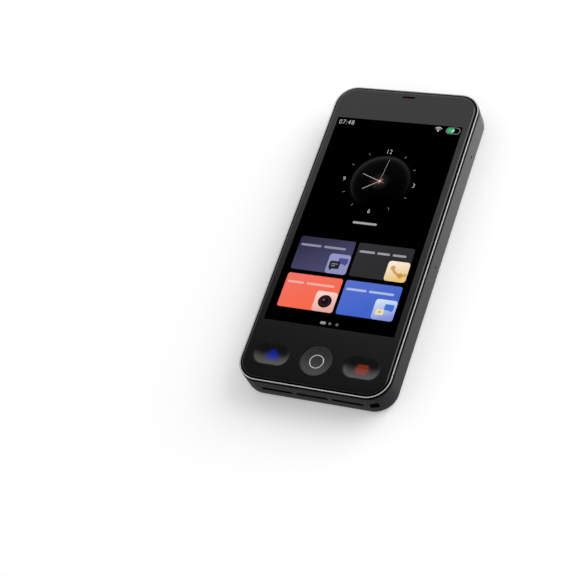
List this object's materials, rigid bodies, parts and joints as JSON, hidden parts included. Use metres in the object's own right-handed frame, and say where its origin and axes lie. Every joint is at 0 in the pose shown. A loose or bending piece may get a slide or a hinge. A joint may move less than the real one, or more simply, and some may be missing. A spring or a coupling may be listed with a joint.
{
  "type": "handheld translator",
  "caption": "Slab handheld translator with a touch screen, dished front keys, a red side key, rear lenses and slotted bottom edge.",
  "frame": {"origin": "middle of the flat outer face of the back cover, which the object lies on", "axes": "+Z out of the screen, +Y along the long side to the earpiece end, +X to the right for someone reading the screen"},
  "size_m": [0.074, 0.1588, 0.0159],
  "materials": {
    "anodised_frame": "bead-blasted and anodised dark grey, satin, with bright cut edges",
    "bright_trim": "diamond-turned, mirror bright",
    "front_glass": "polished, black ink behind it outside the screen",
    "screen": "lit display",
    "backlight": "white diffuser",
    "back_panel": "soft satin lacquer, very dark grey",
    "key_cap": "smoked translucent, satin",
    "blue_lamp": "lit blue",
    "red_lamp": "lit red",
    "red_anodised": "red anodised, satin",
    "red_core": "dark red, matt",
    "lens_glass": "polished and coated, black",
    "flash_diffuser": "off-white, faintly ribbed",
    "steel": "stamped",
    "black_plastic": "moulded, fine grain",
    "circuit_board": "green solder mask",
    "ribbon": "amber polyimide film",
    "battery_pouch": "foil pouch in dark film",
    "plunger": "moulded, ivory",
    "sound_mesh": "black woven wire"
  },
  "bodies": {
    "housing": {"middle_frame": "anodised_frame", "cover_glass": "front_glass", "display_panel": "screen", "display_backlight": "backlight", "display_ribbon": "ribbon", "link_ribbon": "ribbon", "home_switch": "steel", "left_key_switch": "steel", "left_key_lamp": "blue_lamp", "right_key_switch": "steel", "right_key_lamp": "red_lamp", "key_board": "circuit_board", "key_ribbon": "ribbon", "key_board_screw_1": "steel", "key_board_screw_2": "steel", "side_switch": "steel", "side_bracket": "steel", "earpiece_mesh": "sound_mesh", "earpiece_receiver": "steel", "status_light": "red_lamp", "back_cover": "back_panel", "upper_lens_ring": "bright_trim", "upper_lens_glass": "lens_glass", "upper_camera": "black_plastic", "lower_lens_ring": "bright_trim", "lower_lens_glass": "lens_glass", "lower_camera": "black_plastic", "flash_lens": "flash_diffuser", "flash_lamp": "steel", "red_ring": "red_anodised", "red_core": "red_core", "rear_microphone": "steel", "main_board": "circuit_board", "processor_shield": "steel", "radio_shield": "steel", "vibration_motor": "steel", "upper_antenna": "black_plastic", "board_screw_1": "steel", "board_screw_2": "steel", "board_screw_3": "steel", "board_screw_4": "steel", "charging_socket": "steel", "battery": "battery_pouch", "battery_ribbon": "ribbon", "speaker_box": "black_plastic", "speaker_driver": "steel", "speaker_mesh": "sound_mesh", "lanyard_bar": "steel", "upper_side_microphone": "steel", "lower_side_microphone": "steel"},
    "home_key": {"home_button": "key_cap", "home_ring": "bright_trim", "home_plunger": "plunger"},
    "left_talk_key": {"left_key": "key_cap", "left_key_plunger": "plunger"},
    "right_talk_key": {"right_key": "key_cap", "right_key_plunger": "plunger"},
    "power_key": {"side_key": "red_anodised", "side_plunger": "plunger"}
  },
  "joints": [
    {"name": "home_key_press", "type": "slide", "parent": "housing", "child": "home_key", "axis": [0, 0, -1], "range_m": [0, 0.00045], "stiffness_N_per_m": 1500, "springref_m": -0.0002},
    {"name": "left_talk_key_press", "type": "slide", "parent": "housing", "child": "left_talk_key", "axis": [0, 0, -1], "range_m": [0, 0.00045], "stiffness_N_per_m": 1500, "springref_m": -0.0002},
    {"name": "right_talk_key_press", "type": "slide", "parent": "housing", "child": "right_talk_key", "axis": [0, 0, -1], "range_m": [0, 0.00045], "stiffness_N_per_m": 1500, "springref_m": -0.0002},
    {"name": "power_key_press", "type": "slide", "parent": "housing", "child": "power_key", "axis": [1, 0, 0], "range_m": [0, 0.00045], "stiffness_N_per_m": 1500, "springref_m": -0.0002}
  ]
}
